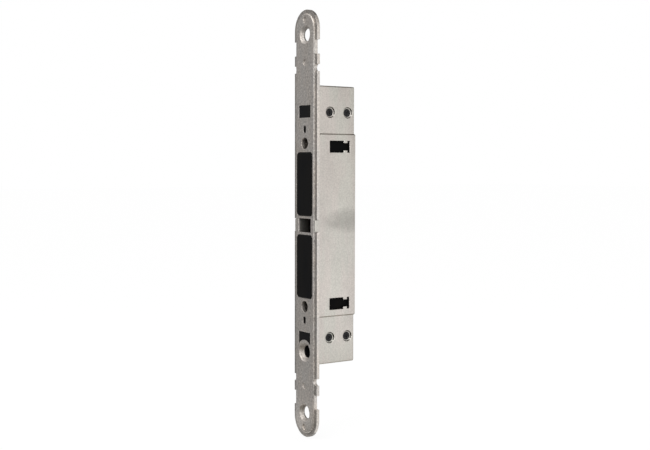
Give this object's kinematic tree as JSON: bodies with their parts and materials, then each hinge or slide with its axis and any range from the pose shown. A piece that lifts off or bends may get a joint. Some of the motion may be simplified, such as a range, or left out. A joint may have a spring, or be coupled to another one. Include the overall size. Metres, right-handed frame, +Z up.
{
  "type": "magnetic door latch",
  "caption": "Mortise magnetic door latch: a round-ended two-layer face plate on a folded case, with screw-adjusted magnet cartridges behind black faces.",
  "frame": {"origin": "centre of the face plate's front face, midway between the two fixing screw holes", "axes": "+X across the face plate, +Y back into the mortise, +Z up along the face plate"},
  "size_m": [0.022, 0.0287, 0.235],
  "materials": {
    "plate_front": "blasted satin nickel",
    "plate_back": "blasted satin nickel",
    "case_metal": "zinc-nickel plated sheet",
    "cover_metal": "zinc-nickel plated sheet",
    "black_plastic": "moulded acetal",
    "cap_plastic": "moulded nylon",
    "black_screw": "black oxide",
    "zinc_steel": "zinc plated",
    "brass": "turned brass",
    "magnet": "nickel plated magnet"
  },
  "bodies": {
    "latch_frame": {"front_plate": "plate_front", "back_plate": "plate_back", "case": "case_metal", "cover": "cover_metal", "centre_guide": "black_plastic", "end_block_upper": "black_plastic", "end_block_lower": "black_plastic", "side_screws_upper": "black_screw", "side_screws_lower": "black_screw"},
    "upper_cartridge": {"magnet_cap_upper": "cap_plastic", "magnet_carrier_upper": "black_plastic", "magnet_upper_outer": "magnet", "magnet_upper_inner": "magnet", "back_iron_upper": "zinc_steel", "nut_insert_upper": "brass"},
    "lower_cartridge": {"magnet_cap_lower": "cap_plastic", "magnet_carrier_lower": "black_plastic", "magnet_lower_outer": "magnet", "magnet_lower_inner": "magnet", "back_iron_lower": "zinc_steel", "nut_insert_lower": "brass"},
    "upper_screw": {"adjusting_screw_upper": "zinc_steel"},
    "lower_screw": {"adjusting_screw_lower": "zinc_steel"}
  },
  "joints": [
    {"name": "upper_screw_turn", "type": "hinge", "parent": "latch_frame", "child": "upper_screw", "pos_m": [0, 0.003, 0.0449], "axis": [0, 1, 0], "range_deg": [-450, 900]},
    {"name": "upper_cartridge_slide", "type": "slide", "parent": "latch_frame", "child": "upper_cartridge", "axis": [0, -1, 0], "range_m": [-0.001, 0.002]},
    {"name": "lower_screw_turn", "type": "hinge", "parent": "latch_frame", "child": "lower_screw", "pos_m": [0, 0.003, -0.0449], "axis": [0, 1, 0], "range_deg": [-450, 900]},
    {"name": "lower_cartridge_slide", "type": "slide", "parent": "latch_frame", "child": "lower_cartridge", "axis": [0, -1, 0], "range_m": [-0.001, 0.002]}
  ],
  "couplings": [
    {"joint": "upper_screw_turn", "follows": "upper_cartridge_slide", "rad_per_m": 7854},
    {"joint": "lower_screw_turn", "follows": "lower_cartridge_slide", "rad_per_m": 7854}
  ]
}
